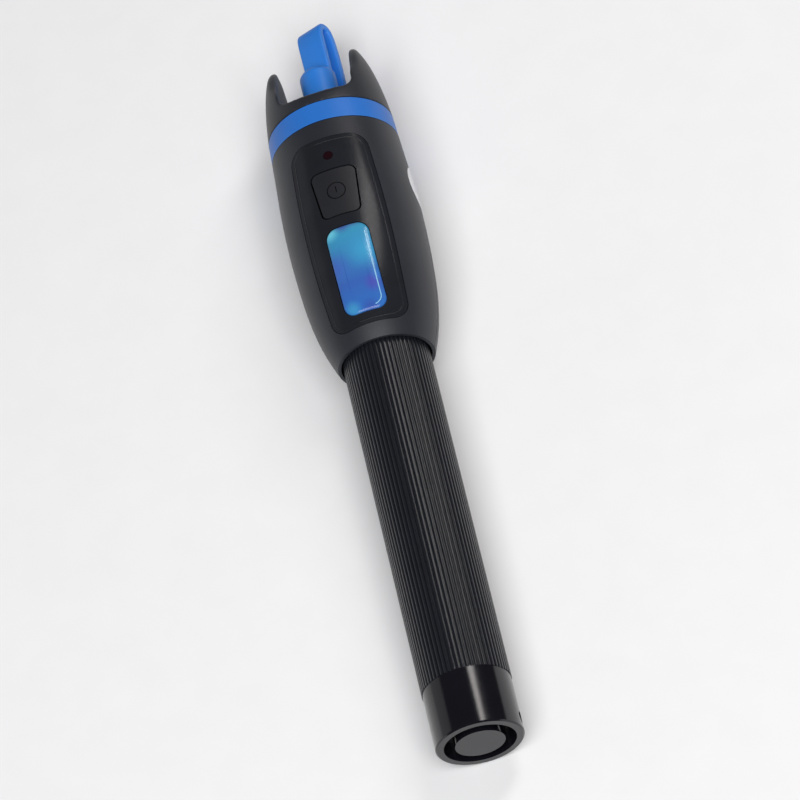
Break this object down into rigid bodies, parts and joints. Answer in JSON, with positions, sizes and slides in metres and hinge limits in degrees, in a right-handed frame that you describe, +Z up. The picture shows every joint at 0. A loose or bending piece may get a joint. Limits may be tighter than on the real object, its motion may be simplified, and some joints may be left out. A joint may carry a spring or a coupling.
{
  "type": "visual fault locator",
  "caption": "Pen-type fibre fault locator: ribbed tube with a screw tail cap, barrel head with button, lamp and blank nameplate, blue ring, two-horned nose guard, capped ferrule port.",
  "frame": {"origin": "bottom centre of the box around the pen as it lies on its back", "axes": "+Y from the screw tail cap to the nose, +Z up, out of the control panel, +X to the right of the panel; the pen's axis rises 2.516 degrees towards the nose because the head is thicker than the tail"},
  "size_m": [0.0295, 0.1788, 0.0295],
  "materials": {
    "cap_black": "black anodised, glossy turned",
    "tube_black": "black anodised, satin, ribbed",
    "seal_rubber": "smooth black rubber",
    "spring_steel": "nickel plated",
    "cell_jacket": "plain printed jacket, no print",
    "insulator": "natural nylon",
    "contact_brass": "bright brass",
    "board_green": "green solder mask on glass laminate",
    "screw_steel": "zinc plated",
    "chip_black": "moulded black epoxy",
    "button_black": "fine matt rubberised",
    "lamp_red": "dark red tinted lens, unlit",
    "soft_black": "soft-touch lacquer on plastic",
    "gloss_black": "polished black",
    "plate_blue": "clear domed resin over blue",
    "label_white": "plain white coated label",
    "ring_blue": "satin blue",
    "diode_metal": "gold-flashed steel can",
    "lens_glass": "coated glass",
    "port_metal": "nickel plated",
    "sleeve_ceramic": "polished zirconia",
    "cap_blue": "matt blue silicone rubber"
  },
  "bodies": {
    "body": {"battery_tube": "tube_black", "battery_rear": "cell_jacket", "battery_front": "cell_jacket", "contact_carrier": "insulator", "plus_contact": "contact_brass", "ground_clip": "contact_brass", "circuit_board": "board_green", "board_screws": "screw_steel", "driver_chip": "chip_black", "power_inductor": "chip_black", "switch_body": "chip_black", "switch_dome": "spring_steel", "status_led": "lamp_red", "front_shell": "soft_black", "rear_shell": "soft_black", "control_panel": "gloss_black", "nameplate": "plate_blue", "side_label": "label_white", "accent_ring": "ring_blue", "nose_guard": "soft_black", "laser_barrel": "contact_brass", "laser_diode": "diode_metal", "focus_lens": "lens_glass", "lens_spring": "spring_steel", "fibre_port": "port_metal", "split_sleeve": "sleeve_ceramic", "port_nut": "port_metal"},
    "tail_contact": {"spring_seat": "spring_steel", "tail_spring": "spring_steel"},
    "tail_cap": {"tail_cap": "cap_black", "o_ring": "seal_rubber"},
    "button": {"power_button": "button_black", "switch_plunger": "insulator"},
    "dust_cap": {"dust_cap": "cap_blue"}
  },
  "joints": [
    {"name": "tail_cap_travel", "type": "slide", "parent": "body", "child": "tail_contact", "axis": [0, -0.999, -0.0439], "range_m": [0, 0.00574]},
    {"name": "tail_cap_turn", "type": "hinge", "parent": "tail_contact", "child": "tail_cap", "pos_m": [0, -0.08898, 0.00909], "axis": [0, -0.999, -0.0439], "range_deg": [0, 1380]},
    {"name": "button_press", "type": "slide", "parent": "body", "child": "button", "axis": [0, 0.0439, -0.999], "range_m": [0, 0.0006], "stiffness_N_per_m": 1200, "springref_m": -0.0005, "deforming": ["switch_dome"]},
    {"name": "dust_cap_pull", "type": "slide", "parent": "body", "child": "dust_cap", "axis": [0, 0.999, 0.0439], "range_m": [0, 0.035]}
  ],
  "couplings": [
    {"joint": "tail_cap_turn", "follows": "tail_cap_travel", "rad_per_m": 4188.8}
  ]
}
